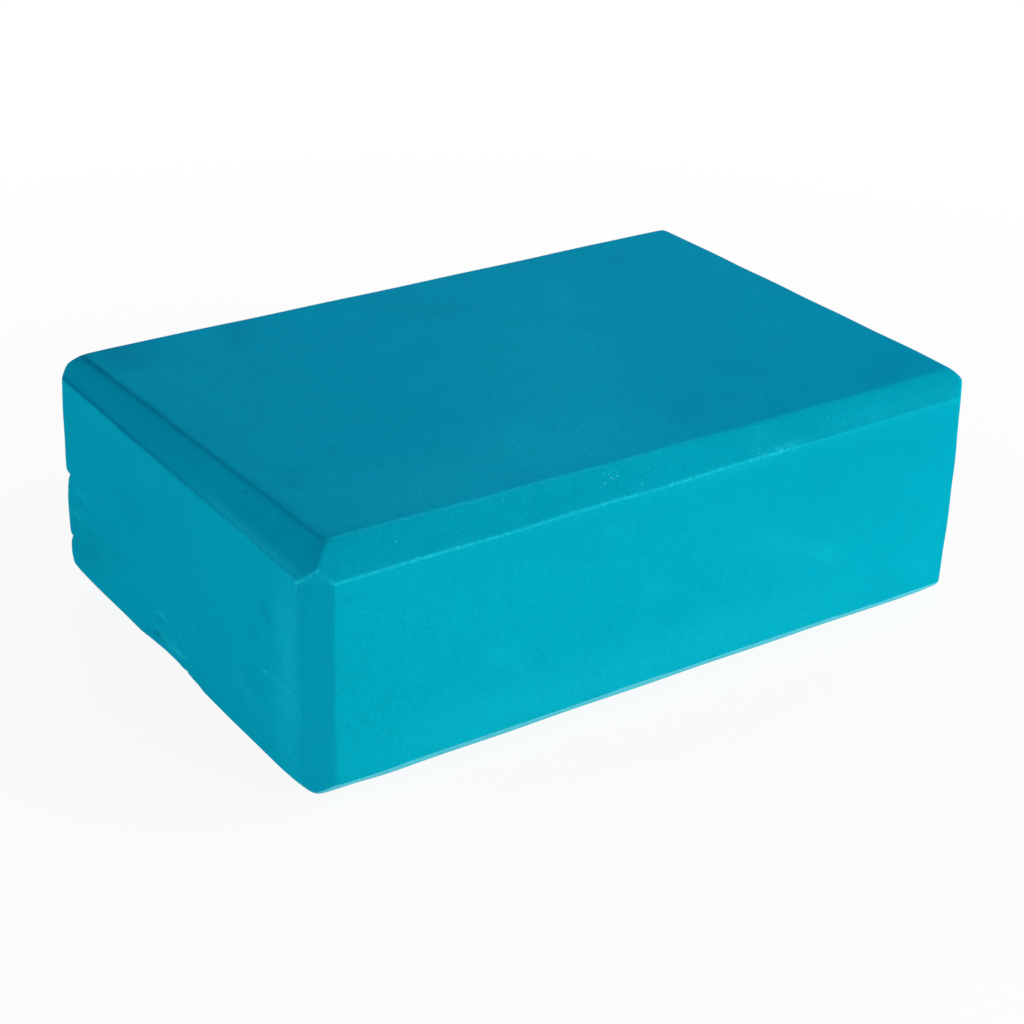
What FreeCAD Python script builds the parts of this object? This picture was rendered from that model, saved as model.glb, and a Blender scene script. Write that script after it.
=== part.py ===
"""Foam yoga block: two plies of closed-cell foam, bonded face to face and bevelled as one brick.

Millimetres. The origin is the middle of the base, +X runs along the length and +Z is up.
"""

import FreeCAD, Part
import math
import os

# Driving dimensions
LENGTH = 228.6  # along X, nine inches
WIDTH = 152.4  # along Y, six inches
HEIGHT = 76.2  # along Z, three inches
BEVEL = 7.6  # leg of the 45 degree bevel on each of the twelve edges
ARRIS_RADIUS = 1.5  # softened edge between a flat face and a bevel
LOWER_PLY = 33.5  # thickness of the lower ply, which puts the bond line at this height
SAME_FACE = 1e-5  # faces of two crossed bars that lie closer than this are one face

ALONG_X = FreeCAD.Vector(1, 0, 0)
ALONG_Y = FreeCAD.Vector(0, 1, 0)
ALONG_Z = FreeCAD.Vector(0, 0, 1)
MIDDLE = FreeCAD.Vector(0, 0, HEIGHT / 2)


def bevelled_corners(across, up, width, height):
    """The eight corners of a rectangle about MIDDLE whose own corners are cut off by BEVEL."""
    half_w, half_h = width / 2, height / 2
    pairs = []
    for side_w, side_h in ((1, 1), (-1, 1), (-1, -1), (1, -1)):
        on_side = (side_w * half_w, side_h * (half_h - BEVEL))
        on_level = (side_w * (half_w - BEVEL), side_h * half_h)
        pairs += [on_side, on_level] if side_w == side_h else [on_level, on_side]
    return [MIDDLE + across * w + up * h for w, h in pairs]


def softened_outline(corners):
    """A closed wire through the corners, each one rounded by an arc of ARRIS_RADIUS."""
    arcs = []
    for i, corner in enumerate(corners):
        arriving = (corner - corners[i - 1]).normalize()
        leaving = (corners[(i + 1) % len(corners)] - corner).normalize()
        half_turn = arriving.getAngle(leaving) / 2
        reach = ARRIS_RADIUS * math.tan(half_turn)
        rise = ARRIS_RADIUS * (1 / math.cos(half_turn) - 1)
        first = corner - arriving * reach
        last = corner + leaving * reach
        top = corner + (leaving - arriving).normalize() * rise
        arcs.append((first, top, last))
    edges = []
    for i, (first, top, last) in enumerate(arcs):
        next_first = arcs[(i + 1) % len(arcs)][0]
        edges.append(Part.Arc(first, top, last).toShape())
        edges.append(Part.makeLine(last, next_first))
    return Part.Wire(edges)


def bevelled_bar(along, length, across, width, up, height):
    """A straight bar as long as the block, with its four long edges bevelled and softened."""
    outline = softened_outline(bevelled_corners(across, up, width, height))
    bar = Part.Face(outline).extrude(along * length)
    bar.translate(along * (-length / 2))
    return bar


def bevelled_block():
    """The brick that three crossed bars share, so that the three bevels at a corner meet in mitres."""
    lengthwise = bevelled_bar(ALONG_X, LENGTH, ALONG_Y, WIDTH, ALONG_Z, HEIGHT)
    widthwise = bevelled_bar(ALONG_Y, WIDTH, ALONG_Z, HEIGHT, ALONG_X, LENGTH)
    upright = bevelled_bar(ALONG_Z, HEIGHT, ALONG_X, LENGTH, ALONG_Y, WIDTH)
    crossed = lengthwise.common((widthwise,), SAME_FACE)
    return crossed.common((upright,), SAME_FACE).removeSplitter()


def foam_plies():
    """The block parted at the bond line: the plies meet flat, over the whole of it."""
    block = bevelled_block()
    below = Part.makeBox(LENGTH, WIDTH, LOWER_PLY, FreeCAD.Vector(-LENGTH / 2, -WIDTH / 2, 0))
    return {
        "lower_foam_ply": block.common(below),
        "upper_foam_ply": block.cut(below),
    }


os.makedirs("parts", exist_ok=True)
for name, ply in foam_plies().items():
    solid = ply.Solids[0]
    solid.exportStep(f"parts/{name}.step")
    box = solid.BoundBox
    print(
        f"{name}: {len(ply.Solids)} solid, valid {solid.isValid()}, {len(solid.Faces)} faces,"
        f" {solid.Volume / 1000:.1f} cm3, Z {box.ZMin:.2f} to {box.ZMax:.2f}"
    )
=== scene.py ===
"""Looks of a foam yoga block: two bonded plies of teal foam with hand-cut bevels, on a plain pale floor.

Lengths are in millimetres in the block's own frame: the origin is the middle of the base, +X runs along
the length, -Y is the long side that faces the camera and +Z is up. Blender gets them in metres.
"""

import logging
import math
from collections.abc import Mapping, Sequence
from dataclasses import dataclass, field
from enum import Enum
from typing import Any

import bpy
import numpy as np
from mathutils import Matrix, Vector


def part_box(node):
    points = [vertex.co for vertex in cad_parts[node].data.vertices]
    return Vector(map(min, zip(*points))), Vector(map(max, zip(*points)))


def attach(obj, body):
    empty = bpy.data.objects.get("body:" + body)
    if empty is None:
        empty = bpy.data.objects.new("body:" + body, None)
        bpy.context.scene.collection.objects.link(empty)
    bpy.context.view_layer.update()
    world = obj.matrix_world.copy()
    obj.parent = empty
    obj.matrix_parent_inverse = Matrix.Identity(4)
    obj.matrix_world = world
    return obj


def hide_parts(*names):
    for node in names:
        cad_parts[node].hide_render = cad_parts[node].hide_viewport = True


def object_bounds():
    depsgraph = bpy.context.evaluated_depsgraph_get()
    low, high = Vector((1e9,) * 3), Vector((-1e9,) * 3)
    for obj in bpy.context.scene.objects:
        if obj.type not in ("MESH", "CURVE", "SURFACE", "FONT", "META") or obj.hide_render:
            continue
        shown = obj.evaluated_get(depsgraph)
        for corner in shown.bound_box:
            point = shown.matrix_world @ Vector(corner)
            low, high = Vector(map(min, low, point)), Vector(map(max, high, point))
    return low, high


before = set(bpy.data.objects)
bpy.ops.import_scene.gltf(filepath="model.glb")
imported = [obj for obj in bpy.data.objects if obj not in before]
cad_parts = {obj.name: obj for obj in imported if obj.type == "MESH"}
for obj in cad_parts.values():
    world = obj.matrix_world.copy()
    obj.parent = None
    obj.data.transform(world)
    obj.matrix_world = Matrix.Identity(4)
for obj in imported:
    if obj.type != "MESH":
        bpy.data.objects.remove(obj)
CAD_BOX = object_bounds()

MM = 0.001  # metres in a millimetre
UP = 2  # the axis that points up
BEVEL_TURN = math.pi / 4  # angle between a side and a bevel beside it
SAME_HEIGHT = 0.01  # heights that differ by less are one
SEED = 7

Colour = tuple[float, float, float]
log = logging.getLogger("yoga_block")


def arch(share: np.ndarray) -> np.ndarray:
    """An arch over the shares from 0 to 1: zero at both ends and one half way along."""
    return 4 * share * (1 - share)


class Side(Enum):
    """The six flat sides, each as the axis that it faces along and the direction."""

    LEFT = (0, -1)
    RIGHT = (0, 1)
    FRONT = (1, -1)
    BACK = (1, 1)
    BASE = (2, -1)
    TOP = (2, 1)

    @property
    def axis(self) -> int:
        """The axis that the side faces along."""
        return self.value[0]

    @property
    def sign(self) -> int:
        """The direction in which it faces along that axis."""
        return self.value[1]

    @property
    def in_plane(self) -> tuple[int, int]:
        """The two axes that run in the side's own plane."""
        first, second = (axis for axis in range(3) if axis != self.axis)
        return first, second

    @property
    def run(self) -> int:
        """The axis that the side's tones change along."""
        return self.in_plane[0]


@dataclass(frozen=True)
class Bevel:
    """A flat cut along one edge of the block, by hand, so that its legs differ from end to end.

    Attributes:
        first: one of the two sides that the cut joins.
        second: the other side.
        on_first: the cut's leg on the first side, from the sharp edge, at the edge's low and high end.
        on_second: the same on the second side.
        bows: how much shorter the legs on the two sides are half way along.
        stray: how far the knife strays from a straight line.
        sways: how fast it does so on the two sides, in radians over the whole edge.
        sway_start: where that starts, in radians for each millimetre of the leg at the low end.
    """

    first: Side
    second: Side
    on_first: tuple[float, float]
    on_second: tuple[float, float]
    bows: tuple[float, float] = (0.0, 0.0)
    stray: float = 0.1
    sways: tuple[float, float] = (31.0, 23.0)
    sway_start: float = 7.0

    def height(self, below: Mapping[Side, np.ndarray], share: np.ndarray) -> np.ndarray:
        """How far points stand proud of the cut.

        Args:
            below: how deep each point lies below each flat side.
            share: how far along the edge each point is, from 0 to 1.

        Returns:
            The distances, negative inside the foam.
        """
        legs = []
        for ends, bow, sway in zip((self.on_first, self.on_second), self.bows, self.sways):
            stray = self.stray * np.sin(sway * share + self.sway_start * ends[0])
            legs.append(np.interp(share, (0, 1), ends) - bow * arch(share) + stray)
        on_first, on_second = legs
        proud = 1 - below[self.first] / on_second - below[self.second] / on_first
        return proud / np.hypot(1 / on_first, 1 / on_second)


class Edge(Enum):
    """The twelve bevelled edges."""

    TOP_FRONT = Bevel(Side.TOP, Side.FRONT, (7.8, 6.9), (8.5, 6.1), (0.75, -0.25))
    TOP_LEFT = Bevel(Side.TOP, Side.LEFT, (9.05, 6.6), (8.85, 5.5))
    TOP_BACK = Bevel(Side.TOP, Side.BACK, (7.0, 6.6), (7.6, 7.4), (-0.8, -0.6))
    TOP_RIGHT = Bevel(Side.TOP, Side.RIGHT, (6.2, 7.0), (7.2, 7.6))
    BASE_FRONT = Bevel(Side.BASE, Side.FRONT, (8.35, 8.45), (7.75, 7.6), (-0.5, -0.5))
    BASE_LEFT = Bevel(Side.BASE, Side.LEFT, (6.5, 7.4), (6.9, 9.2))
    BASE_BACK = Bevel(Side.BASE, Side.BACK, (7.4, 7.8), (7.8, 7.4))
    BASE_RIGHT = Bevel(Side.BASE, Side.RIGHT, (7.8, 7.3), (7.4, 7.7))
    LEFT_FRONT = Bevel(Side.LEFT, Side.FRONT, (7.8, 5.6), (7.5, 7.3), (-0.15, 0.3))
    LEFT_BACK = Bevel(Side.LEFT, Side.BACK, (7.1, 7.5), (7.4, 7.6))
    RIGHT_FRONT = Bevel(Side.RIGHT, Side.FRONT, (7.9, 8.4), (8.4, 9.1), (0.3, 1.3))
    RIGHT_BACK = Bevel(Side.RIGHT, Side.BACK, (7.5, 7.8), (7.8, 7.4), (0.6, 0.6))

    @property
    def run(self) -> int:
        """The axis that the edge runs along."""
        return sum(range(3)) - self.value.first.axis - self.value.second.axis


Plane = Side | Edge
PLANES: tuple[Plane, ...] = (*Side, *Edge)

# How much softer than the arrises each rubbed corner is
SOFT_CORNERS: Mapping[tuple[Side, Side, Side], float] = {
    (Side.LEFT, Side.BACK, Side.TOP): 0.8,
    (Side.RIGHT, Side.FRONT, Side.TOP): 0.6,
    (Side.RIGHT, Side.BACK, Side.TOP): 0.6,
    (Side.LEFT, Side.FRONT, Side.BASE): 1.4,
    (Side.LEFT, Side.BACK, Side.BASE): 1.7,
    (Side.RIGHT, Side.FRONT, Side.BASE): 0.3,
    (Side.RIGHT, Side.BACK, Side.BASE): 0.7,
}


class Tone(Enum):
    """How the foam's surface changes from place to place; the values name the mesh attributes.

    SANDED is a coarser grain than that of a plain cut, or below zero a finer one, and FLECKED is the share
    of places with a bright fleck. The pressed skin's tone is partly painted shade: its darker, bluer
    colours also stand for the cooler shade of the dimmer faces. The wear tone also carries painted
    highlights and painted light, the tone of the base bevels is a painted reflection of the white floor,
    and the grime tone also carries painted shade.
    """

    PRESSED = "pressed"
    WEAR = "wear"
    RUBBED = "rubbed"
    GRIME = "grime"
    SANDED = "sanded"
    FLECKED = "flecked"


@dataclass(frozen=True)
class ArrisLine:
    """A pale or dark line that runs along the arris where two planes of the block meet.

    Attributes:
        planes: the two planes, of which at least one is a bevel.
        tone: what the line does to the foam.
        strengths: its strength at places spread evenly along it, from the low to the high end.
        width: half of its width.
    """

    planes: tuple[Plane, Plane]
    tone: Tone
    strengths: tuple[float, ...]
    width: float

    @property
    def run(self) -> int:
        """The axis that its first bevel runs along."""
        return next(plane.run for plane in self.planes if isinstance(plane, Edge))


@dataclass(frozen=True)
class Mark:
    """A dent, nick, scuff or stain on one side, or a patch of painted light or painted shade.

    Attributes:
        place: its middle, along the side's two in-plane axes.
        size: half of its length and half of its width.
        turn: the angle of its length from the first in-plane axis, in degrees.
        bow: how far its ends bend away from its middle.
        depth: how far it is pressed in.
        reach: how deep below its side it still acts.
        wear: what it adds to the wear and the painted light.
        grime: what it adds to the grime and the painted shade.
        sanded: what it adds to the grain.
        flecked: what it adds to the flecks.
    """

    place: tuple[float, float]
    size: tuple[float, float]
    turn: float = 0.0
    bow: float = 0.0
    depth: float = 0.0
    reach: float = 5.0
    wear: float = 0.0
    grime: float = 0.0
    sanded: float = 0.0
    flecked: float = 0.0

    @property
    def tones(self) -> dict[Tone, float]:
        """How much the mark adds to each tone, from the field of that name."""
        return {tone: getattr(self, tone.value, 0.0) for tone in Tone}

    def weight(self, points: np.ndarray, side: Side, below: np.ndarray) -> np.ndarray:
        """How strongly the mark acts at each point.

        Args:
            points: the points.
            side: the side that the mark is on.
            below: how deep each point lies below that side.

        Returns:
            The weights, from 0 to 1.
        """
        first, second = side.in_plane
        du, dv = points[:, first] - self.place[0], points[:, second] - self.place[1]
        cos, sin = math.cos(math.radians(self.turn)), math.sin(math.radians(self.turn))
        along = (du * cos + dv * sin) / self.size[0]
        across = (dv * cos - du * sin - self.bow * along**2) / self.size[1]
        return np.exp(-(along**4) - across**2 - (below / self.reach) ** 2)


# The pressed skin of the top and the base, and how the cut sides and bevels differ, as the strength of each
# tone at places spread evenly along a plane, from its low to its high end; much of it is painted light and
# shade that differs from plane to plane, as marked at each row.
PLANE_TONES: Mapping[Tone, Mapping[Plane, tuple[float, ...]]] = {
    # Pressed skin of the top and the base, and painted shade: its darker, bluer colours stand for the
    # cooler shade of faces that take less light, so they also go on parts of the end and the bevels
    Tone.PRESSED: {
        Side.TOP: (0.75, 1.0, 1.0, 1.0),
        Side.BASE: (1.0,),
        Side.LEFT: (0.0, 0.12, 0.12, 0.0),
        Edge.TOP_FRONT: (0.3, 0.1, 0.1, 0.0, 0.0),
        Edge.TOP_LEFT: (0.7, 0.6, 0.5),
        Edge.LEFT_FRONT: (0.4,),
    },
    # Painted shade: the top-front bevel, the end bevel and the upper end of the upright bevel darkened as a
    # whole
    Tone.GRIME: {
        Edge.TOP_FRONT: (0.18, 0.17, 0.14, 0.18, 0.16),
        Edge.TOP_LEFT: (0.08, 0.07, 0.165, 0.18),
        Edge.LEFT_FRONT: (0.0, 0.0, 0.0, 0.08),
    },
    # Painted light: the upright bevel made a little paler as a whole
    Tone.WEAR: {Edge.LEFT_FRONT: (0.06, 0.07, 0.03, 0.0)},
    # Painted reflection of the white floor: the bevels along the base made pale
    Tone.RUBBED: {
        Edge.BASE_FRONT: (1.0,),
        Edge.BASE_LEFT: (0.4, 0.2),
        Edge.BASE_BACK: (0.3, 0.6, 0.4),
        Edge.BASE_RIGHT: (0.5, 0.3),
    },
    Tone.SANDED: {
        Side.FRONT: (0.08, 0.06, -0.05, -0.32, -0.42),
        Side.LEFT: (0.12,),
        Side.BACK: (0.1, 0.0, 0.05),
        Edge.TOP_FRONT: (0.4, 0.42, 0.45, 0.25, 0.1),
        Edge.TOP_BACK: (0.3, 0.5),
        Edge.TOP_RIGHT: (0.4, 0.3),
        Edge.LEFT_FRONT: (-0.25,),
    },
    Tone.FLECKED: {
        Edge.TOP_FRONT: (0.0, 0.002, 0.012, 0.012, 0.005, 0.001, 0.0),
        Edge.TOP_BACK: (0.002, 0.01, 0.03, 0.01),
        Edge.TOP_RIGHT: (0.015, 0.004),
    },
}

# Lines along the arrises: pale worn ones, flecked ones and dark ones, with a broad painted highlight among
# the pale ones
ARRIS_LINES = (
    ArrisLine((Edge.TOP_FRONT, Side.FRONT), Tone.WEAR, (0.36, 0.5, 0.4, 0.4, 0.4, 0.12, 0.0, 0.0), 0.45),
    # Painted highlight: a broad pale band along the rounded arris at the top of the front
    ArrisLine((Edge.TOP_FRONT, Side.FRONT), Tone.WEAR, (0.04, 0.04, 0.05, 0.07, 0.07, 0.05), 1.8),
    ArrisLine((Edge.TOP_FRONT, Side.FRONT), Tone.FLECKED, (0.0, 0.4, 0.2, 0.15, 0.2, 0.1, 0.0, 0.0), 0.5),
    ArrisLine((Edge.TOP_FRONT, Edge.LEFT_FRONT), Tone.WEAR, (0.22,), 0.5),
    ArrisLine((Edge.TOP_LEFT, Edge.LEFT_FRONT), Tone.WEAR, (0.6,), 0.55),
    ArrisLine((Side.TOP, Edge.TOP_FRONT), Tone.WEAR, (0.32, 0.36, 0.22, 0.08, 0.12, 0.1), 0.5),
    ArrisLine((Side.TOP, Edge.TOP_FRONT), Tone.GRIME, (0.12, 0.04, 0.0, 0.0, 0.0, 0.0), 2.4),
    ArrisLine((Edge.TOP_LEFT, Side.LEFT), Tone.WEAR, (0.1, 0.0, 0.0, 0.0), 0.6),
    # Darker lines along the top's left arris and along the end bevel's lower arris, darker towards the back
    ArrisLine((Side.TOP, Edge.TOP_LEFT), Tone.GRIME, (0.21, 0.27, 0.34, 0.4), 0.95),
    ArrisLine((Edge.TOP_LEFT, Side.LEFT), Tone.GRIME, (0.0, 0.12, 0.44, 0.6), 0.7),
    ArrisLine((Edge.TOP_BACK, Side.BACK), Tone.WEAR, (0.3, 0.45, 0.5, 0.35, 0.4), 0.5),
    ArrisLine((Edge.TOP_RIGHT, Side.RIGHT), Tone.WEAR, (0.15, 0.4, 0.3), 0.5),
    ArrisLine((Edge.RIGHT_BACK, Side.BACK), Tone.WEAR, (0.3, 0.15), 0.5),
    ArrisLine((Edge.LEFT_BACK, Side.BACK), Tone.WEAR, (0.2, 0.3), 0.5),
    ArrisLine((Side.TOP, Edge.TOP_RIGHT), Tone.GRIME, (0.2, 0.3), 0.7),
)

# Nicks, scuffs and stains that can be seen, and a few like them on the sides that the photo doesn't show,
# with patches of painted light and shade among them
MARKS: Mapping[Side, tuple[Mark, ...]] = {
    Side.TOP: (
        Mark((-95.8, -34), (6, 2.4), turn=80, depth=0.15, grime=0.1),
        Mark((-107.7, -31.9), (0.7, 0.4), turn=90, grime=0.45),
        Mark((-107, -38.4), (0.6, 0.4), turn=90, grime=0.35),
        Mark((-107.6, -46.9), (0.6, 0.4), turn=90, wear=0.4),
        # Painted shade: the top darker towards its far left end and corner
        Mark((-97, 66), (15, 12), turn=85, reach=1.5, grime=0.24),
        Mark((-101, 20), (55, 6), turn=90, reach=1.5, grime=0.06),
        Mark((-42, -58), (52, 18), reach=1.5, wear=0.13),
        Mark((5, -12), (48, 24), turn=62, wear=0.09),
        Mark((-61, 60), (11, 4), turn=75, grime=0.14),
        Mark((-4, 49), (9, 6), turn=110, grime=0.09),
        Mark((90, -60), (15, 7), turn=30, reach=1.5, grime=0.13),
        Mark((20, -52), (10, 5), turn=40, grime=0.08),
        Mark((54, -41), (8, 4), turn=120, grime=0.08),
        Mark((52, -6), (9, 4), turn=-15, grime=0.07),
        Mark((76, -30), (7, 4), turn=30, grime=0.06),
        Mark((75, 53), (7, 3), turn=60, grime=0.07),
        Mark((41, 36), (13, 4.5), turn=62, wear=0.08),
        Mark((-33, -42), (13, 8), turn=60, wear=0.06),
    ),
    Side.LEFT: (
        Mark((-54.3, 50.6), (3.0, 0.8), turn=40, depth=0.25, grime=0.15),
        Mark((-53, 51), (5, 3), turn=40, grime=0.08),
        Mark((22, 50), (36, 18), reach=1.5, grime=0.09),
        # Painted highlight: pale bands along the rounded arris at the top of the end
        Mark((-48, 68.9), (30, 1.0), turn=1.3, reach=8, wear=0.26),
        Mark((25, 71.3), (50, 1.5), turn=1.3, reach=8, wear=0.08),
        Mark((-34, 14), (20, 8), reach=1.5, wear=0.05),
        Mark((69, 38.8), (6, 0.9), depth=0.65),
        Mark((69, 37.3), (6, 2.6), depth=0.35),
        Mark((69, 18.2), (5, 0.9), depth=0.5),
        Mark((69, 17.6), (5, 2.6), depth=0.15),
        Mark((59, 36.2), (5.5, 0.7), turn=5, bow=-0.5, depth=0.1, wear=0.25),
        Mark((60, 32.4), (3.2, 0.8), turn=-40, depth=0.1, grime=0.12),
        Mark((63, 27.7), (3.2, 0.7), turn=8, depth=0.1, wear=0.22),
        Mark((52, 27.8), (2.4, 0.7), turn=3, wear=0.14),
        Mark((64.3, 24.4), (3.0, 2.4), turn=60, grime=0.14),
        Mark((54, 26.2), (2.4, 1.3), turn=-20, depth=0.1, grime=0.1),
        Mark((35.6, 26.4), (3, 2), grime=0.1),
        Mark((58, 17), (14, 7), turn=-15, grime=0.16),
        Mark((43, 27), (14, 6), turn=-10, grime=0.06),
        Mark((66, 40), (30, 14), turn=90, reach=1.5, grime=0.07),
        Mark((15, 60), (6, 4), wear=0.07),
        Mark((8.3, 20.4), (3.6, 0.8), turn=-5, bow=-1.0, depth=-0.1, wear=0.3),
        Mark((-2.2, 20.2), (3.8, 0.6), turn=22, bow=-0.5, depth=-0.1, wear=0.22),
        Mark((8.8, 18.2), (2.8, 1.2), turn=-15, depth=0.15, grime=0.12),
        Mark((-2.6, 18.0), (1.8, 0.8), turn=30, depth=0.1, grime=0.08),
        Mark((14.6, 11.3), (4.8, 0.7), turn=-22, depth=0.3, grime=0.38),
        Mark((4, 11.3), (8, 0.6), turn=4, depth=0.3, grime=0.25),
        Mark((0, 12.6), (7, 0.8), turn=-4, depth=-0.1, wear=0.4),
        Mark((5, 14.2), (9, 1.4), turn=-4, wear=0.12),
        Mark((6, 7), (12.5, 6), depth=1.0, reach=14),
        Mark((-10, 7), (5, 5), depth=0.35, reach=14),
        Mark((-4.6, 8), (1.1, 4), depth=0.5, reach=14),
        Mark((12.9, 28.3), (0.7, 0.5), wear=0.4),
        Mark((7.2, 51.2), (0.7, 0.5), grime=0.35),
        Mark((-65, 45), (19, 6), turn=90, reach=0.6, wear=0.21),
        Mark((-64, 20), (12, 8), turn=90, reach=0.6, wear=0.16),
        Mark((-58, 33.0), (12, 0.6), wear=0.09),
        Mark((-52.8, 32.8), (1.0, 0.7), wear=0.35),
        Mark((-40, 22.5), (5, 2.5), turn=30, wear=0.1),
    ),
    Side.FRONT: (
        # Painted light and shade: the front paler low down and darker high up
        Mark((-10, 14), (90, 9), reach=1.5, wear=0.13),
        Mark((0, 63), (105, 9), reach=1.5, grime=0.06),
        Mark((82, 56), (38, 16), reach=1.5, grime=0.1),
        # Painted highlight: a pale band along the rounded arris at the top of the front, on the right
        Mark((85, 71.4), (30, 1.8), reach=14, wear=0.11),
        Mark((-55, 30.5), (8, 2.6), turn=-33, wear=0.11),
        Mark((-20, 59), (4, 2), turn=-30, wear=0.11),
        Mark((-5.5, 37), (4.5, 2.4), turn=-20, wear=0.1),
        Mark((47, 36), (19, 3), turn=-25, wear=0.1),
        Mark((59.5, 30.5), (4.5, 3), turn=-20, wear=0.07),
        Mark((97, 17), (10, 5), turn=-40, wear=0.05),
        Mark((20, 67), (13, 1.4), wear=0.06),
        Mark((-19.3, 73.8), (2.8, 1.2), turn=10, reach=14, flecked=0.75),
        Mark((-18, 73.5), (26, 3.5), reach=14, sanded=0.15, flecked=0.02),
        Mark((39, 69.7), (5, 0.9), turn=4, depth=-0.2, reach=3, wear=0.3),
        Mark((36.5, 69.6), (7.5, 1.3), turn=3, reach=3, wear=0.14),
        Mark((31, 72.8), (5, 2.5), turn=30, reach=14, wear=0.1),
    ),
    Side.BACK: (
        Mark((62, 48), (7, 1.2), turn=20, depth=0.3, grime=0.2),
        Mark((-40, 22), (5, 2.4), turn=-35, depth=0.25, grime=0.1),
        Mark((12, 32), (30, 5), turn=-12, wear=0.09),
        Mark((-78, 55), (9, 3), turn=30, wear=0.1),
        Mark((88, 15), (14, 5), turn=10, grime=0.12),
    ),
    Side.RIGHT: (
        Mark((-34, 24), (5, 0.8), turn=-20, bow=1.0, depth=0.15, wear=0.25),
        Mark((28, 52), (3, 1.2), turn=40, depth=0.35, grime=0.22),
        Mark((48, 18), (12, 5), turn=12, grime=0.13),
        Mark((-8, 44), (18, 6), turn=15, wear=0.08),
    ),
    Side.BASE: (
        Mark((-103, -67), (13, 6), depth=0.5, reach=10),
        Mark((-40, 22), (38, 12), turn=25, grime=0.14),
        Mark((58, -28), (28, 10), turn=-15, grime=0.12),
        Mark((24, 44), (22, 2.2), turn=8, wear=0.12),
        Mark((-66, -38), (18, 2.0), turn=-30, wear=0.14),
    ),
}


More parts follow.
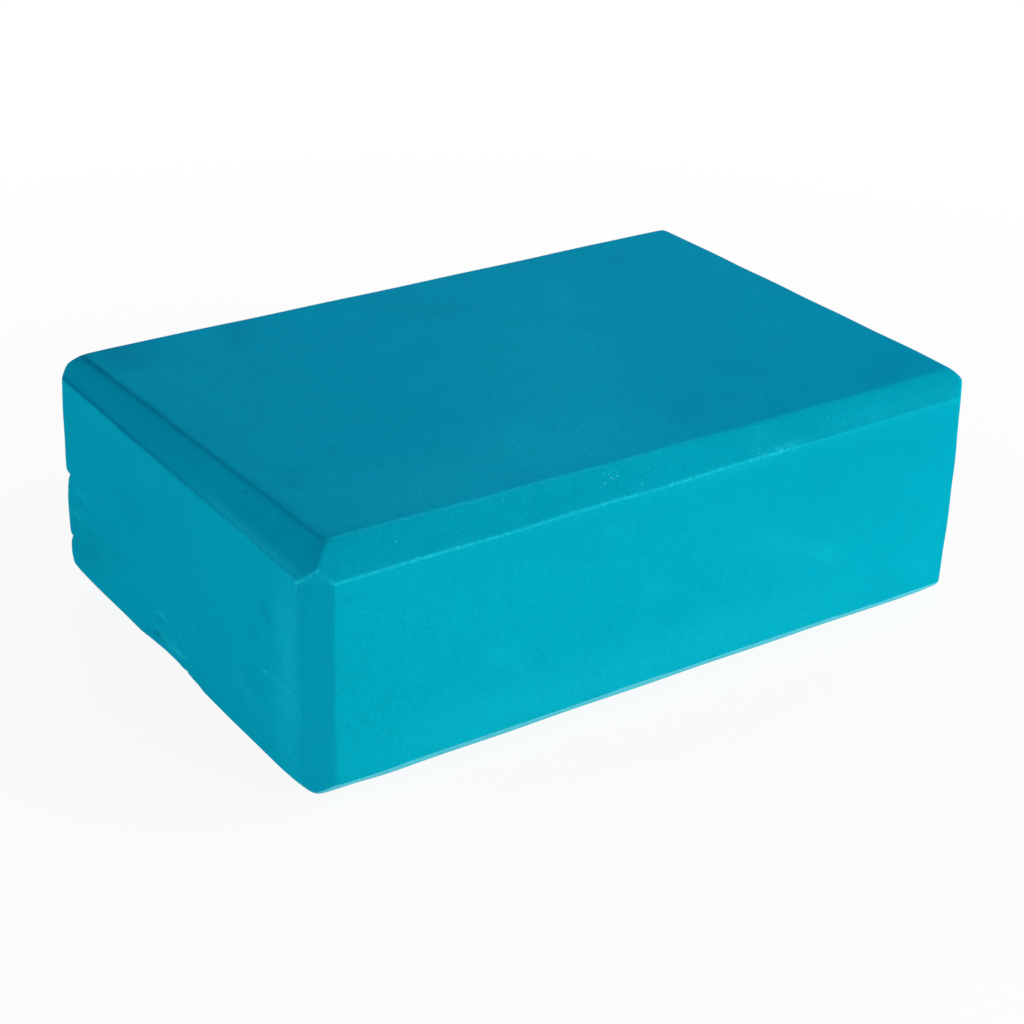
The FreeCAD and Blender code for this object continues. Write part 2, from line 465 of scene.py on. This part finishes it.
@dataclass
class BlockForm:
    """The outer form of the whole block, as a smooth blend of its six sides and twelve bevels.

    Attributes:
        low: the lowest corner of the block.
        high: its highest corner.
        bond: the height of the bond line.
        blend: how softly the planes run into each other at the arrises.
        top_blend: how much softer the arrises of the top are.
        top_reach: how deep below the top that fades out.
        corner_reach: how far from a corner its extra softness fades out.
        crown: how far each flat side swells in the middle.
        ripple: the height of the low waves that a knife leaves on a flat side.
        ripple_lengths: the shortest and longest of these waves.
        seam_depth: how deep the bond line is sunk on each side that shows it.
        seam_width: half of the width of that groove.
        seam_reach: how deep below its side the groove still acts.
    """

    low: np.ndarray
    high: np.ndarray
    bond: float
    blend: float = 0.06
    top_blend: float = 0.2
    top_reach: float = 3.0
    corner_reach: float = 11.0
    crown: Mapping[Side, float] = field(default_factory=lambda: {Side.RIGHT: 0.5, Side.BACK: 0.2})
    ripple: float = 0.05
    ripple_lengths: tuple[float, float] = (25.0, 70.0)
    seam_depth: Mapping[Side, float] = field(default_factory=lambda: {Side.LEFT: 0.1, Side.RIGHT: 0.1})
    seam_width: float = 0.5
    seam_reach: float = 5.0

    def __post_init__(self) -> None:
        """Draws the waves of each side."""
        draw = np.random.default_rng(SEED)
        self.waves = {side: self._draw_waves(draw) for side in Side}

    def _draw_waves(self, draw: np.random.Generator, count: int = 3) -> list[tuple[float, float, float]]:
        """Draws the low waves of one side.

        Args:
            draw: where the random numbers come from.
            count: how many waves there are.

        Returns:
            The waves, each as two wave numbers along the side's in-plane axes and a phase.
        """
        waves = []
        for _ in range(count):
            angle, phase = draw.uniform(0, 2 * math.pi, 2)
            number = 2 * math.pi / draw.uniform(*self.ripple_lengths)
            waves.append((number * math.cos(angle), number * math.sin(angle), phase))
        return waves

    def below(self, points: np.ndarray) -> dict[Side, np.ndarray]:
        """How deep points lie below each flat side."""
        reach = {side: (self.high if side.sign > 0 else self.low)[side.axis] for side in Side}
        return {side: side.sign * (reach[side] - points[:, side.axis]) for side in Side}

    def share(self, points: np.ndarray, axis: int) -> np.ndarray:
        """How far points lie along the block on one axis, from 0 to 1."""
        return np.clip((points[:, axis] - self.low[axis]) / (self.high - self.low)[axis], 0, 1)

    def swell(self, points: np.ndarray, side: Side) -> np.ndarray:
        """How far one side swells out over points, by its crown and its waves.

        Args:
            points: the points.
            side: the side.

        Returns:
            The height of the side over each point.
        """
        first, second = side.in_plane
        bulge = self.crown.get(side, 0.0)
        for axis in side.in_plane:
            bulge = bulge * arch(self.share(points, axis))
        waves = self.waves[side]
        rise = sum(np.sin(points[:, first] * u + points[:, second] * v + w) for u, v, w in waves)
        return bulge + self.ripple * rise / len(waves)

    def heights(self, points: np.ndarray, below: Mapping[Side, np.ndarray]) -> np.ndarray:
        """How far points stand proud of each plane, one row for each of PLANES.

        Args:
            points: the points.
            below: how deep they lie below each flat side.

        Returns:
            The distances, negative inside the foam.
        """
        sides = [self.swell(points, side) - below[side] for side in Side]
        edges = [edge.value.height(below, self.share(points, edge.run)) for edge in Edge]
        return np.stack(sides + edges)

    def softness(self, below: Mapping[Side, np.ndarray]) -> np.ndarray:
        """How softly the planes run into each other, more so near the top and at a corner worn round.

        Args:
            below: how deep points lie below each flat side.

        Returns:
            The softness at each point.
        """
        soft = self.blend + self.top_blend * np.exp(-((below[Side.TOP] / self.top_reach) ** 2))
        for corner, extra in SOFT_CORNERS.items():
            square = sum(below[side] ** 2 for side in corner)
            soft += extra * np.exp(-square / self.corner_reach**2)
        return soft

    def pressed(self, points: np.ndarray, below: Mapping[Side, np.ndarray]) -> np.ndarray:
        """How far the marks and the bond line press the surface in at each point.

        Args:
            points: the points.
            below: how deep they lie below each flat side.

        Returns:
            The depths.
        """
        total = np.zeros(len(points))
        for side, marks in MARKS.items():
            for mark in marks:
                if mark.depth:
                    total += mark.depth * mark.weight(points, side, below[side])
        groove = np.exp(-(((points[:, UP] - self.bond) / self.seam_width) ** 2))
        for side, depth in self.seam_depth.items():
            total += depth * groove * np.exp(-((below[side] / self.seam_reach) ** 2))
        return total

    def outside(self, points: np.ndarray) -> np.ndarray:
        """How far points lie outside the foam.

        Args:
            points: the points.

        Returns:
            The distances, negative inside the foam.
        """
        below = self.below(points)
        soft = self.softness(below)
        heights = self.heights(points, below) / soft
        top = heights.max(axis=0)
        return soft * (top + np.log(np.exp(heights - top).sum(axis=0))) + self.pressed(points, below)

    def surface(self, starts: np.ndarray, ways: np.ndarray, reach: float, rounds: int = 18) -> np.ndarray:
        """Finds where rays leave the foam, by halving.

        Args:
            starts: the first points of the rays, inside the foam.
            ways: their directions.
            reach: a length at which every ray is outside.
            rounds: how often the length is halved.

        Returns:
            The lengths at which the rays leave the foam.
        """
        near, far = np.zeros(len(starts)), np.full(len(starts), reach)
        for _ in range(rounds):
            middle = (near + far) / 2
            out = self.outside(starts + ways * middle[:, None]) > 0
            near, far = np.where(out, near, middle), np.where(out, middle, far)
        return (near + far) / 2

    def strength(self, points: np.ndarray, run: int, strengths: Sequence[float]) -> np.ndarray:
        """The strength at each point of a tone, given at places spread evenly along one axis."""
        places = np.linspace(0, 1, len(strengths))
        return np.interp(self.share(points, run), places, strengths)

    def tones(self, points: np.ndarray) -> dict[Tone, np.ndarray]:
        """How strong each tone is: the pressed skin and its painted cooler shade, wear and painted light,
        the painted reflection of the white floor, grime and painted shade, grain and flecks.

        Args:
            points: points on the surface.

        Returns:
            The strength of each tone at each point.
        """
        below = self.below(points)
        heights = self.heights(points, below)
        nearest = heights.argmax(axis=0)
        tones = {tone: np.zeros(len(points)) for tone in Tone}
        for tone, covers in PLANE_TONES.items():
            for plane, strengths in covers.items():
                on_plane = nearest == PLANES.index(plane)
                tones[tone] += self.strength(points, plane.run, strengths) * on_plane
        for line in ARRIS_LINES:
            first, second = (heights[PLANES.index(plane)] for plane in line.planes)
            across = (first - second) / (line.width * math.sin(BEVEL_TURN))
            off = np.minimum(np.maximum(first, second) + self.blend, 0) / line.width
            strength = self.strength(points, line.run, line.strengths)
            tones[line.tone] += strength * np.exp(-(across**2) - off**2)
        for side, marks in MARKS.items():
            for mark in marks:
                weight = mark.weight(points, side, below[side])
                for tone, amount in mark.tones.items():
                    tones[tone] += amount * weight
        return tones


@dataclass
class FoamPly:
    """One ply of foam: a closed skin of its own that follows the block's form down to the bond line.

    Attributes:
        node: the CAD node that the ply stands for.
        name: the name of its piece.
        form: the form of the whole block.
        margin: the width of the rim in which the grid lines fan out round an edge.
        plain_step: the distance of the grid lines over a bevel.
        fine_band: where on the rim the arrises run, from the sharp edge.
        fine_step: the distance of the grid lines there.
        open_steps: the distance of the grid lines on the flat of the sides, along each axis.
        seam_steps: the distances of the first grid lines from the bond line.
        crease: the angle in degrees from which an edge of the skin stays sharp.
    """

    node: str
    name: str
    form: BlockForm
    margin: float = 12.0
    plain_step: float = 0.8
    fine_band: tuple[float, float] = (5.0, 9.5)
    fine_step: float = 0.25
    open_steps: tuple[float, float, float] = (2.8, 1.0, 0.6)
    seam_steps: tuple[float, ...] = (0.0, 0.25, 0.5, 0.8, 1.2)
    crease: float = 40.0

    def __post_init__(self) -> None:
        """Reads the ply's own box from the frame."""
        low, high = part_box(self.node)
        self.low, self.high = np.array(low) / MM, np.array(high) / MM

    def is_bond(self, height: float) -> bool:
        """Whether a height is the one at which the plies meet."""
        return math.isclose(height, self.form.bond, abs_tol=SAME_HEIGHT)

    def steps(self, axis: int, end: float) -> np.ndarray:
        """The distances of the grid lines from one end of the ply, as far as the open lines.

        Args:
            axis: the axis across the lines.
            end: where the ply ends on that axis.

        Returns:
            The distances.
        """
        if axis == UP and self.is_bond(end):
            return np.array(self.seam_steps)
        start, stop = self.fine_band
        outer = np.arange(0, start, self.plain_step)
        return np.concatenate([outer, np.arange(start, stop, self.fine_step), [stop, self.margin]])

    def lines(self, axis: int) -> np.ndarray:
        """The places of all grid lines along one axis.

        Args:
            axis: the axis.

        Returns:
            The places, in order.
        """
        low, high = self.low[axis], self.high[axis]
        first, last = low + self.steps(axis, low), high - self.steps(axis, high)[::-1]
        count = round((last[0] - first[-1]) / self.open_steps[axis])
        return np.concatenate([first, np.linspace(first[-1], last[0], count + 1)[1:-1], last])

    def skin(self) -> tuple[np.ndarray, np.ndarray]:
        """The corners and the four-sided faces of the skin.

        Returns:
            The corners, and the indices of each face's corners.
        """
        lines = [self.lines(axis) for axis in range(3)]
        counts = [len(line) for line in lines]
        grid = np.indices(counts).reshape(3, -1)
        rim = np.array(counts)[:, None] - 1
        on_skin = ((grid == 0) | (grid == rim)).any(axis=0)
        number = np.full(grid.shape[1], -1)
        number[on_skin] = np.arange(on_skin.sum())
        number = number.reshape(counts)
        corners = np.stack([line[index[on_skin]] for line, index in zip(lines, grid)], axis=1)
        faces = []
        for side in Side:
            sheet = np.take(number, 0 if side.sign < 0 else -1, axis=side.axis)
            quads = [sheet[:-1, :-1], sheet[1:, :-1], sheet[1:, 1:], sheet[:-1, 1:]]
            turned = (side.sign < 0) != (side.axis == 1)
            faces.append(np.stack(quads[::-1] if turned else quads, axis=-1).reshape(-1, 4))
        return self.settle(corners), np.concatenate(faces)

    def settle(self, corners: np.ndarray) -> np.ndarray:
        """Moves corners of the plain box onto the block's form, and those of the bond face in with them.

        Args:
            corners: points on the ply's box.

        Returns:
            The points on the skin.
        """
        inner_low, inner_high = self.low + self.margin, self.high - self.margin
        if self.is_bond(self.low[UP]):
            inner_low[UP] = self.low[UP]
        if self.is_bond(self.high[UP]):
            inner_high[UP] = self.high[UP]
        roots = np.clip(corners, inner_low, inner_high)
        ways = corners - roots
        lengths = np.linalg.norm(ways, axis=1)
        moved = lengths > 0
        ways[moved] /= lengths[moved, None]
        share = np.abs(corners - roots).max(axis=1)[moved] / self.margin
        reach = self.form.surface(roots[moved], ways[moved], 2 * self.margin)
        settled = corners.copy()
        settled[moved] = roots[moved] + ways[moved] * (share * reach)[:, None]
        return settled

    def build(self, foam: bpy.types.Material) -> bpy.types.Object:
        """Makes the ply's piece and ties it to the frame.

        Args:
            foam: the foam's material.

        Returns:
            The piece.
        """
        corners, faces = self.skin()
        mesh = bpy.data.meshes.new(self.name)
        mesh.from_pydata((corners * MM).tolist(), [], faces.tolist())
        for tone, amounts in self.form.tones(corners).items():
            layer = mesh.attributes.new(tone.value, "FLOAT", "POINT")
            layer.data.foreach_set("value", np.clip(amounts, -1, 1).astype(np.float32))
        mesh.materials.append(foam)
        mesh.shade_smooth()
        mesh.set_sharp_from_angle(angle=math.radians(self.crease))
        piece = bpy.data.objects.new(self.name, mesh)
        bpy.context.scene.collection.objects.link(piece)
        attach(piece, "root")
        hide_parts(self.node)
        return piece


class Wire:
    """An output socket of a node; sums and products of wires that carry one number add Math nodes."""

    def __init__(self, graph: "NodeGraph", socket: bpy.types.NodeSocket) -> None:
        """Wraps a socket of a graph."""
        self.graph, self.socket = graph, socket

    def _math(self, operation: str, first: "Wire | float", second: "Wire | float") -> "Wire":
        """Adds a Math node with two values."""
        return self.graph.node("ShaderNodeMath", {"operation": operation}, {0: first, 1: second})

    def __add__(self, other: "Wire | float") -> "Wire":
        """The sum."""
        return self._math("ADD", self, other)

    def __sub__(self, other: "Wire | float") -> "Wire":
        """The difference."""
        return self._math("SUBTRACT", self, other)

    def __rsub__(self, other: float) -> "Wire":
        """The difference from a number."""
        return self._math("SUBTRACT", other, self)

    def __mul__(self, other: "Wire | float") -> "Wire":
        """The product."""
        return self._math("MULTIPLY", self, other)

    def __truediv__(self, other: "Wire | float") -> "Wire":
        """The quotient."""
        return self._math("DIVIDE", self, other)

    def __rtruediv__(self, other: float) -> "Wire":
        """The quotient of a number."""
        return self._math("DIVIDE", other, self)

    def __gt__(self, other: "Wire | float") -> "Wire":
        """One where it is greater, and zero elsewhere."""
        return self._math("GREATER_THAN", self, other)

    __radd__, __rmul__ = __add__, __mul__

    def clamped(self) -> "Wire":
        """The value, held between 0 and 1."""
        return self.graph.node("ShaderNodeClamp", {}, {"Value": self})


class NodeGraph:
    """The node tree of one material or of the world."""

    FAINT_SPECK = 0.25  # strength of the faintest specks
    SPECK_PEAK = 1.3  # strength in the middle of a speck, past 1 so that it is flat there

    def __init__(self, owner: bpy.types.Material | bpy.types.World) -> None:
        """Takes over the owner's node tree and empties it.

        Args:
            owner: the material or the world.
        """
        owner.use_nodes = True
        self.tree = owner.node_tree
        self.tree.nodes.clear()

    def node(
        self, kind: str, settings: Mapping[str, Any], inputs: Mapping[str | int, Any], output: str | int = 0
    ) -> Wire | None:
        """Adds a node.

        Args:
            kind: the node's type.
            settings: its properties, which are set first.
            inputs: values or wires for its sockets, by name or by number.
            output: the output that is wanted.

        Returns:
            That output, or nothing from a node that has none.
        """
        node = self.tree.nodes.new(kind)
        for name, value in settings.items():
            setattr(node, name, value)
        for key, value in inputs.items():
            socket = self._pick(node.inputs, key)
            if isinstance(value, Wire):
                self.tree.links.new(value.socket, socket)
            else:
                socket.default_value = value
        return Wire(self, self._pick(node.outputs, output)) if node.outputs else None

    @staticmethod
    def _pick(sockets: Sequence[bpy.types.NodeSocket], key: str | int) -> bpy.types.NodeSocket:
        """Picks a socket.

        Args:
            sockets: the sockets on one side of a node.
            key: its number, or its name among those in use.

        Returns:
            The socket.
        """
        if isinstance(key, int):
            return sockets[key]
        return next(socket for socket in sockets if socket.name == key and socket.enabled)

    def mix(self, share: Wire | float, one: Wire | Sequence[float], other: Wire | Sequence[float]) -> Wire:
        """Mixes two colours."""
        inputs = {"Factor": share, "A": one, "B": other}
        return self.node("ShaderNodeMix", {"data_type": "RGBA"}, inputs, "Result")

    def noise(self, point: Wire, size: float, detail: float = 2.0) -> Wire:
        """Noise about zero, with lumps of the given size."""
        inputs = {"Vector": point, "Scale": 1 / (size * MM), "Detail": detail}
        return self.node("ShaderNodeTexNoise", {}, inputs) - 0.5

    def tone(self, tone: Tone) -> Wire:
        """One of the tones that the mesh carries."""
        return self.node("ShaderNodeAttribute", {"attribute_name": tone.value}, {}, "Fac")

    def specks(self, point: Wire, cell: float, size: float, share: Wire | float) -> Wire:
        """A mask of small round specks, faint and strong, strewn at random.

        Args:
            point: the place on the surface.
            cell: the distance of the places where a speck may be.
            size: half of the width of a speck.
            share: the share of those places that have one.

        Returns:
            The mask, from 0 to 1.
        """
        sockets = {"Vector": point, "Scale": 1 / (cell * MM)}
        distance = self.node("ShaderNodeTexVoronoi", {}, sockets, "Distance")
        lots = {"Color": self.node("ShaderNodeTexVoronoi", {}, sockets, "Color")}
        chance, force = (self.node("ShaderNodeSeparateColor", {}, lots, lot) for lot in ("Red", "Green"))
        there = (chance > 1.0 - share) * (self.FAINT_SPECK + force)
        return (there * (self.SPECK_PEAK - distance / (size / cell))).clamped()

    def seen(self) -> Wire:
        """Tells what the camera sees from what only lights the scene.

        Returns:
            One for rays from the camera and for what mirrors or glass show it, and zero for others.
        """
        rays = ("Is Camera Ray", "Is Glossy Ray", "Is Transmission Ray")
        camera, mirrored, through = (self.node("ShaderNodeLightPath", {}, {}, ray) for ray in rays)
        return (camera + mirrored + through).clamped()


def opaque(colour: Sequence[float]) -> tuple[float, ...]:
    """A colour with full alpha, as sockets take it."""
    return (*colour, 1.0)


@dataclass(frozen=True)
class FoamFinish:
    """Firm teal foam: a matt skin with a sandy grain, faint clouds, pale worn arrises, flecks and pits, and
    with painted light and shade: highlights along some arrises, the white floor's reflection on the base
    bevels, a cooler shade on the dimmer faces and darker patches.

    Attributes:
        cut: the two colours that the grain and the clouds of a cut side run between.
        pressed: the same for the pressed skin of the top and the base, darker and bluer, which also paints
            the cooler shade of the dimmer faces that carry it.
        worn_and_highlight: the colour of a worn arris, and of painted highlights and painted light.
        rubbed: the pale colour of the painted reflection of the white floor on the bevels along the base.
        grimy_and_shaded: the colour of a soiled place, and of painted shade.
        fleck: the colour of the bright flecks.
        grain: the size of the grain.
        grain_tint: how much the grain changes the colour, plain and more so where it is sanded.
        grain_height: how high it stands, in the same way.
        cell: the size of the finer cells in the bump.
        cell_height: their height against that of the grain.
        clouds: the sizes of the clouds.
        cloud_tint: how much the clouds of each size change the colour.
        wear_and_highlight_patch: the size of the patches that wear and painted light break up into.
        wear_and_highlight_break: how much they differ.
        floor_reflection_cover: how well the colour of that painted reflection covers, on the whole and from
            cloud to cloud.
        fleck_cell: the distance of the places where a fleck may be.
        fleck_size: half of the width of a fleck.
        fleck_share: the share of those places with a fleck where the surface isn't flecked.
        pit_cell: the distance of the places where a dark pit may be.
        pit_size: half of the width of a pit.
        pit_share: the share of those places with a pit.
        pit_darkness: how dark a pit is.
        ior: the index of the matt skin, low because the foam hardly mirrors.
        roughness: the roughness of the skin, on the whole and from grain to grain.
        bump: the height of the grain.
    """

    cut: tuple[Colour, Colour] = ((0.0004, 0.306, 0.412), (0.0006, 0.408, 0.548))
    pressed: tuple[Colour, Colour] = ((0.0004, 0.287, 0.446), (0.0006, 0.383, 0.594))
    worn_and_highlight: Colour = (0.012, 0.60, 0.74)
    rubbed: Colour = (0.13, 0.71, 0.82)
    grimy_and_shaded: Colour = (0.0002, 0.12, 0.24)
    fleck: Colour = (0.11, 0.76, 0.89)
    grain: float = 0.45
    grain_tint: tuple[float, float] = (1.3, 2.0)
    grain_height: tuple[float, float] = (0.6, 0.6)
    cell: float = 0.25
    cell_height: float = 0.5
    clouds: tuple[float, float, float] = (2.4, 9.0, 42.0)
    cloud_tint: tuple[float, float, float] = (0.4, 0.3, 0.25)
    wear_and_highlight_patch: float = 1.1
    wear_and_highlight_break: float = 3.0
    floor_reflection_cover: tuple[float, float] = (0.85, 0.4)
    fleck_cell: float = 0.7
    fleck_size: float = 0.17
    fleck_share: float = 0.001
    pit_cell: float = 3.1
    pit_size: float = 0.28
    pit_share: float = 0.008
    pit_darkness: float = 0.7
    ior: float = 1.015
    roughness: tuple[float, float] = (0.5, 0.15)
    bump: float = 0.05

    def material(self) -> bpy.types.Material:
        """Makes the foam's material.

        Returns:
            The material.
        """
        material = bpy.data.materials.new("teal_foam_skin")
        graph = NodeGraph(material)
        point = graph.node("ShaderNodeTexCoord", {}, {}, "Object")
        grain, cell = graph.noise(point, self.grain), graph.noise(point, self.cell, detail=1.0)
        sanded = graph.tone(Tone.SANDED)
        rough, spread = self.roughness
        shader = graph.node(
            "ShaderNodeBsdfPrincipled",
            {},
            {
                "Base Color": self.colour(graph, point, grain, sanded),
                "Roughness": rough + spread * grain,
                "IOR": self.ior,
                "Normal": self.relief(graph, grain, cell, sanded),
            },
        )
        graph.node("ShaderNodeOutputMaterial", {}, {"Surface": shader})
        return material

    def relief(self, graph: NodeGraph, grain: Wire, cell: Wire, sanded: Wire) -> Wire:
        """The relief of the grained skin, higher where it is sanded.

        Args:
            graph: the material's nodes.
            grain: the grain.
            cell: the finer cells.
            sanded: how sanded the skin is.

        Returns:
            The normal.
        """
        plain, more = self.grain_height
        height = (grain + self.cell_height * cell) * (plain + more * sanded)
        inputs = {"Strength": 1.0, "Distance": self.bump * MM, "Height": height}
        return graph.node("ShaderNodeBump", {}, inputs)

    def colour(self, graph: NodeGraph, point: Wire, grain: Wire, sanded: Wire) -> Wire:
        """The colour of the skin, with its grain, clouds, wear, grime, pits and flecks, and with painted
        light and shade: highlights, the white floor's reflection, a cooler shade on the dimmer faces and
        darker patches.

        Args:
            graph: the material's nodes.
            point: the place on the surface.
            grain: the grain.
            sanded: how sanded the skin is.

        Returns:
            The colour.
        """
        clouds = [graph.noise(point, size) for size in self.clouds]
        plain, more = self.grain_tint
        shade = 0.5 + grain * (plain + more * sanded)
        for cloud, tint in zip(clouds, self.cloud_tint):
            shade += tint * cloud
        shade, fine = shade.clamped(), clouds[0]
        cut, pressed = (graph.mix(shade, *map(opaque, pair)) for pair in (self.cut, self.pressed))
        # The pressed skin; its darker, bluer colours are also painted shade for the dimmer faces
        skin = graph.mix(graph.tone(Tone.PRESSED), cut, pressed)
        broken = 1.0 + self.wear_and_highlight_break * graph.noise(point, self.wear_and_highlight_patch)
        # Wear, and painted highlights and painted light, make the colour paler
        skin = graph.mix((graph.tone(Tone.WEAR) * broken).clamped(), skin, opaque(self.worn_and_highlight))
        # Painted reflection of the white floor, pale on the bevels along the base
        cover, uneven = self.floor_reflection_cover
        reflected = (graph.tone(Tone.RUBBED) * (cover + uneven * fine)).clamped()
        skin = graph.mix(reflected, skin, opaque(self.rubbed))
        pits = graph.specks(point, self.pit_cell, self.pit_size, self.pit_share)
        # Grime, and painted shade where planes and patches are darkened, make the colour darker, and so do
        # the pits
        darkened = (graph.tone(Tone.GRIME) * (1.0 + fine) + self.pit_darkness * pits).clamped()
        skin = graph.mix(darkened, skin, opaque(self.grimy_and_shaded))
        share = self.fleck_share + graph.tone(Tone.FLECKED)
        flecks = graph.specks(point, self.fleck_cell, self.fleck_size, share)
        return graph.mix(flecks, skin, opaque(self.fleck))


def direction(turn: float, rise: float) -> Vector:
    """The direction of a place round the block.

    Args:
        turn: its angle round the block in degrees, from the long side in front towards the right end.
        rise: its height above the horizon in degrees.

    Returns:
        The direction, of length one.
    """
    turn, rise = math.radians(turn), math.radians(rise)
    level = math.cos(rise)
    return Vector((math.sin(turn) * level, -math.cos(turn) * level, math.sin(rise)))


@dataclass(frozen=True)
class Lamp:
    """A soft square lamp of the studio, aimed at the block.

    Attributes:
        name: its name.
        turn: its angle round the block, as in direction.
        rise: its height above the horizon, as there.
        power: its power in watts.
        colour: its colour.
        distance: its distance from the block in metres.
        size: the length of its side in metres.
    """

    name: str
    turn: float
    rise: float
    power: float
    colour: Colour = (1.0, 1.0, 1.0)
    distance: float = 1.6
    size: float = 0.9

    def build(self, aim: Vector) -> None:
        """Makes the lamp.

        Args:
            aim: the point that it is aimed at.
        """
        data = bpy.data.lights.new(self.name, "AREA")
        data.energy, data.color, data.size = self.power, self.colour, self.size
        lamp = bpy.data.objects.new(self.name, data)
        away = direction(self.turn, self.rise)
        lamp.location = aim + away * self.distance
        lamp.rotation_euler = away.to_track_quat("Z", "Y").to_euler()
        lamp.visible_camera = False
        bpy.context.scene.collection.objects.link(lamp)


@dataclass(frozen=True)
class Viewpoint:
    """The camera of the photograph, fitted to the outline and the arrises of the block.

    Attributes:
        turn: its angle round the block, as in direction.
        rise: its height above the horizon, as there.
        roll: how far it is tilted to the right in degrees.
        distance: its distance from the point that it looks at.
        aside: how far that point lies to the right of the block's middle, as the camera sees it.
        height: how high that point lies.
        focal: its focal length on a full-frame sensor.
        sensor: the width of that sensor.
        clip: the nearest and farthest distance that it shows, in metres.
    """

    turn: float = -35.192
    rise: float = 26.896
    roll: float = 1.932
    distance: float = 687.6
    aside: float = -0.53
    height: float = 26.41
    focal: float = 79.72
    sensor: float = 36.0
    clip: tuple[float, float] = (0.01, 100.0)

    def build(self) -> None:
        """Makes the camera and shows the scene through it."""
        data = bpy.data.cameras.new("photo_camera")
        data.lens, data.sensor_width = self.focal, self.sensor
        data.clip_start, data.clip_end = self.clip
        turn = math.radians(self.turn)
        right = Vector((math.cos(turn), math.sin(turn), 0.0))
        back = direction(self.turn, self.rise)
        spot = right * self.aside + Vector((0, 0, self.height))
        axes = Matrix((right, back.cross(right), back)).transposed()
        rotation = axes @ Matrix.Rotation(math.radians(self.roll), 3, "Z")
        camera = bpy.data.objects.new("photo_camera", data)
        camera.matrix_world = Matrix.Translation((spot + back * self.distance) * MM) @ rotation.to_4x4()
        bpy.context.scene.collection.objects.link(camera)
        bpy.context.scene.camera = camera


@dataclass(frozen=True)
class Studio:
    """A plain pale floor in soft light, against white.

    Attributes:
        lamps: the lamps.
        ambient: the strength of the light from all round.
        ambient_colour: its colour.
        floor_colour: the colour of the floor.
        floor_reach: half of the width of the floor in metres.
        floor_white: the share of plain white in what the camera sees of the floor near the block, beside
            its shadows; being less than one, it paints a soft grey pool of shade round the block.
        fade: the distances from the block's middle between which the floor turns plain white, in metres.
    """

    lamps: tuple[Lamp, ...] = (
        Lamp("key_lamp", turn=30, rise=6, power=23.0, colour=(1.0, 1.0, 0.93)),
        Lamp("right_lamp", turn=60, rise=28, power=11.9),
        Lamp("left_lamp", turn=-90, rise=6, power=16.8, colour=(0.98, 0.95, 1.0)),
        Lamp("rear_lamp", turn=150, rise=28, power=9.4, colour=(0.95, 0.89, 1.0)),
    )
    ambient: float = 0.19
    ambient_colour: Colour = (0.94, 0.92, 1.0)
    floor_colour: Colour = (0.88, 0.88, 0.88)
    floor_reach: float = 4.0
    floor_white: float = 0.9
    fade: tuple[float, float] = (0.1, 0.45)

    def build(self, aim: Vector) -> None:
        """Makes the floor, the light and the camera.

        Args:
            aim: the point that the lamps are aimed at.
        """
        self.build_floor()
        self.build_world()
        for lamp in self.lamps:
            lamp.build(aim)
            log.info("%s: %.1f W", lamp.name, lamp.power)
        Viewpoint().build()
        bpy.context.scene.view_settings.view_transform = "Standard"

    def build_floor(self) -> None:
        """Makes the floor, level with the block's base."""
        reach = self.floor_reach
        mesh = bpy.data.meshes.new("pale_floor")
        corners = [(-reach, -reach, 0), (reach, -reach, 0), (reach, reach, 0), (-reach, reach, 0)]
        mesh.from_pydata(corners, [], [(0, 1, 2, 3)])
        mesh.materials.append(self.floor_material())
        floor = bpy.data.objects.new("pale_floor", mesh)
        bpy.context.scene.collection.objects.link(floor)

    def floor_material(self) -> bpy.types.Material:
        """Makes the floor's material, which keeps a faint shadow near the block and paints a soft grey pool
        of shade round it.

        Returns:
            The material.
        """
        material = bpy.data.materials.new("pale_floor")
        graph = NodeGraph(material)
        plain = graph.node("ShaderNodeBsdfDiffuse", {}, {"Color": opaque(self.floor_colour)})
        white = graph.node("ShaderNodeEmission", {}, {"Strength": 1.0})
        place = graph.node("ShaderNodeTexCoord", {}, {}, "Object")
        away = graph.node("ShaderNodeVectorMath", {"operation": "LENGTH"}, {0: place}, "Value")
        start, stop = self.fade
        faded = ((away - start) / (stop - start)).clamped()
        # Less plain white near the block paints a soft grey pool of shade round it, besides the real shadow
        shown = graph.seen() * (self.floor_white + (1 - self.floor_white) * faded)
        mixed = graph.node("ShaderNodeMixShader", {}, {0: shown, 1: plain, 2: white})
        graph.node("ShaderNodeOutputMaterial", {}, {"Surface": mixed})
        return material

    def build_world(self) -> None:
        """Makes the light from all round, which the camera sees as white."""
        world = bpy.data.worlds.new("studio_white")
        bpy.context.scene.world = world
        graph = NodeGraph(world)
        ambient = {"Color": opaque(self.ambient_colour), "Strength": self.ambient}
        light = graph.node("ShaderNodeBackground", {}, ambient)
        white = graph.node("ShaderNodeBackground", {}, {"Color": opaque((1, 1, 1)), "Strength": 1.0})
        mixed = graph.node("ShaderNodeMixShader", {}, {0: graph.seen(), 1: light, 2: white})
        graph.node("ShaderNodeOutputWorld", {}, {"Surface": mixed})


def main() -> None:
    """Builds the plies and the studio, and reports each piece."""
    logging.basicConfig(level=logging.INFO, format="%(message)s")
    low, high = (np.array(corner) / MM for corner in CAD_BOX)
    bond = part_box("upper_foam_ply")[0].z / MM
    form = BlockForm(low, high, bond)
    foam = FoamFinish().material()
    for node, name in (("lower_foam_ply", "lower_ply"), ("upper_foam_ply", "upper_ply")):
        piece = FoamPly(node, name, form).build(foam)
        log.info("%s: %d faces", piece.name, len(piece.data.polygons))
    Studio().build((CAD_BOX[0] + CAD_BOX[1]) / 2)


if __name__ == "__main__":
    main()
